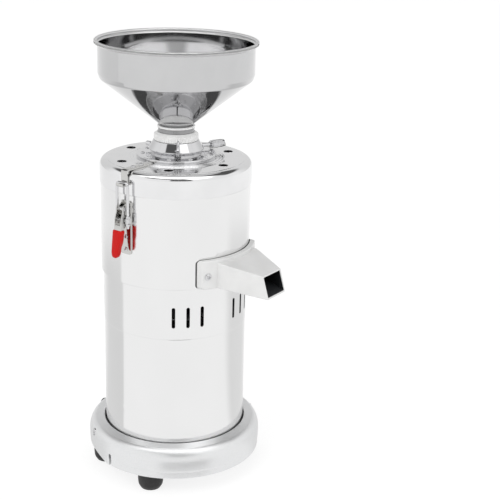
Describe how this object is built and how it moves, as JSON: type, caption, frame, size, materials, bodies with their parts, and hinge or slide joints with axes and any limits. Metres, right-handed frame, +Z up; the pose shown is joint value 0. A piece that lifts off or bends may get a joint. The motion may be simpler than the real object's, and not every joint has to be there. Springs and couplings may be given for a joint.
{
  "type": "nut butter grinder",
  "caption": "Upright stone mill: round steel hopper, threaded fineness collar, clamp-down cover with latches, side spout and motor on a cast base with rubber feet.",
  "frame": {"origin": "on the spindle axis, in the plane of the base casting's bottom rim, 26.4 mm above the soles of the feet", "axes": "+Z up along the spindle towards the hopper, -Y towards the spout, +Y towards the switch and the cord entry"},
  "size_m": [0.2662, 0.3148, 0.6315],
  "materials": {
    "base_paint": "silver-grey hammered paint on a casting",
    "zinc_plate": "zinc-plated sheet",
    "screw_steel": "bright plated steel fasteners",
    "rubber": "matt black rubber",
    "black_plastic": "fine-textured black plastic",
    "aluminium": "drawn aluminium can",
    "shell_steel": "polished stainless steel, near white under soft light",
    "switch_plastic": "glossy red rocker",
    "cast_aluminium": "cast and turned aluminium",
    "core_steel": "stacked lamination steel",
    "copper": "enamelled copper winding",
    "bearing_steel": "ground steel",
    "spout_metal": "satin pale cast metal",
    "white_rubber": "white food-grade rubber",
    "polished_steel": "polished stainless steel",
    "abrasive_stone": "coarse corundum grinding stone",
    "chrome": "mirror chrome",
    "red_plastic": "glossy red moulded grip",
    "white_nylon": "white nylon",
    "brushed_hopper": "spun stainless sheet"
  },
  "bodies": {
    "frame": {"base_casting": "base_paint", "bottom_plate": "zinc_plate", "base_side_screws": "screw_steel", "rubber_feet": "rubber", "foot_screws": "screw_steel", "foot_nuts": "screw_steel", "cord_gland": "black_plastic", "run_capacitor": "aluminium", "capacitor_clip": "zinc_plate", "motor_shell": "shell_steel", "vent_shroud": "shell_steel", "switch_frame": "black_plastic", "lower_end_bell": "cast_aluminium", "upper_end_bell": "cast_aluminium", "tie_bolts": "screw_steel", "stator_core": "core_steel", "stator_windings": "copper", "lower_bearing": "bearing_steel", "upper_bearing": "bearing_steel", "bowl_posts": "screw_steel", "chamber_bowl": "cast_aluminium", "shaft_seal": "rubber", "outer_casing": "shell_steel", "spout": "spout_metal", "spout_gasket": "rubber", "spout_screws": "screw_steel", "cover_gasket": "white_rubber", "cover_plate": "cast_aluminium", "cover": "polished_steel", "stepped_ring": "polished_steel", "ring_screws": "screw_steel", "guide_pins": "bearing_steel", "latch_straps": "polished_steel", "strap_screws": "screw_steel", "latch_brackets": "polished_steel", "bracket_screws": "screw_steel", "pivot_pins": "screw_steel"},
    "spindle": {"spindle": "bearing_steel", "rotor_core": "core_steel", "cooling_fan": "zinc_plate", "discharge_scraper": "polished_steel", "rotor_plate": "cast_aluminium", "rotor_stone": "abrasive_stone", "feed_nut": "polished_steel"},
    "collar": {"adjusting_collar": "chrome", "collar_retainer": "bearing_steel", "adjusting_handle": "chrome", "lock_screw": "chrome"},
    "lock_lever": {"lock_lever": "chrome"},
    "upper_stone": {"stone_sleeve": "cast_aluminium", "stator_stone": "abrasive_stone"},
    "left_handle": {"left_latch_handle": "polished_steel", "left_latch_grip": "red_plastic"},
    "left_bolt": {"left_u_bolt": "screw_steel"},
    "right_handle": {"right_latch_handle": "polished_steel", "right_latch_grip": "red_plastic"},
    "right_bolt": {"right_u_bolt": "screw_steel"},
    "hopper": {"hopper_coupling": "white_nylon", "hopper": "brushed_hopper"},
    "rocker": {"switch_rocker": "switch_plastic"}
  },
  "joints": [
    {"name": "spindle_spin", "type": "hinge", "parent": "frame", "child": "spindle", "pos_m": [0, 0, 0.09], "axis": [0, 0, 1], "continuous": true},
    {"name": "collar_turn", "type": "hinge", "parent": "frame", "child": "collar", "pos_m": [0, 0, 0.44], "axis": [0, 0, 1], "range_deg": [-60, 240]},
    {"name": "stone_height", "type": "slide", "parent": "frame", "child": "upper_stone", "axis": [0, 0, 1], "range_m": [-0.00034, 0.00134]},
    {"name": "lock_lever_swing", "type": "hinge", "parent": "collar", "child": "lock_lever", "pos_m": [-0.03049, -0.02558, 0.4535], "axis": [0.6428, -0.766, 0], "range_deg": [-20, 60]},
    {"name": "left_latch_swing", "type": "hinge", "parent": "frame", "child": "left_handle", "pos_m": [-0.11505, 0.00402, 0.39], "axis": [0.0349, 0.9994, 0], "range_deg": [0, 80]},
    {"name": "left_bolt_swing", "type": "hinge", "parent": "left_handle", "child": "left_bolt", "pos_m": [-0.11393, 0.00398, 0.37404], "axis": [0.0349, 0.9994, 0], "range_deg": [-60, 0]},
    {"name": "right_latch_swing", "type": "hinge", "parent": "frame", "child": "right_handle", "pos_m": [0.11505, -0.00402, 0.39], "axis": [-0.0349, -0.9994, 0], "range_deg": [0, 80]},
    {"name": "right_bolt_swing", "type": "hinge", "parent": "right_handle", "child": "right_bolt", "pos_m": [0.11393, -0.00398, 0.37404], "axis": [-0.0349, -0.9994, 0], "range_deg": [-60, 0]},
    {"name": "hopper_lift", "type": "slide", "parent": "frame", "child": "hopper", "axis": [0, 0, 1], "range_m": [0, 0.12]},
    {"name": "rocker_tilt", "type": "hinge", "parent": "frame", "child": "rocker", "pos_m": [0, 0.1004, 0.064], "axis": [1, 0, 0], "range_deg": [0, 16]}
  ],
  "couplings": [
    {"joint": "stone_height", "follows": "collar_turn", "m_per_rad": 0.00031831},
    {"joint": "left_bolt_swing", "follows": "left_latch_swing", "ratio": -0.75},
    {"joint": "right_bolt_swing", "follows": "right_latch_swing", "ratio": -0.75}
  ]
}
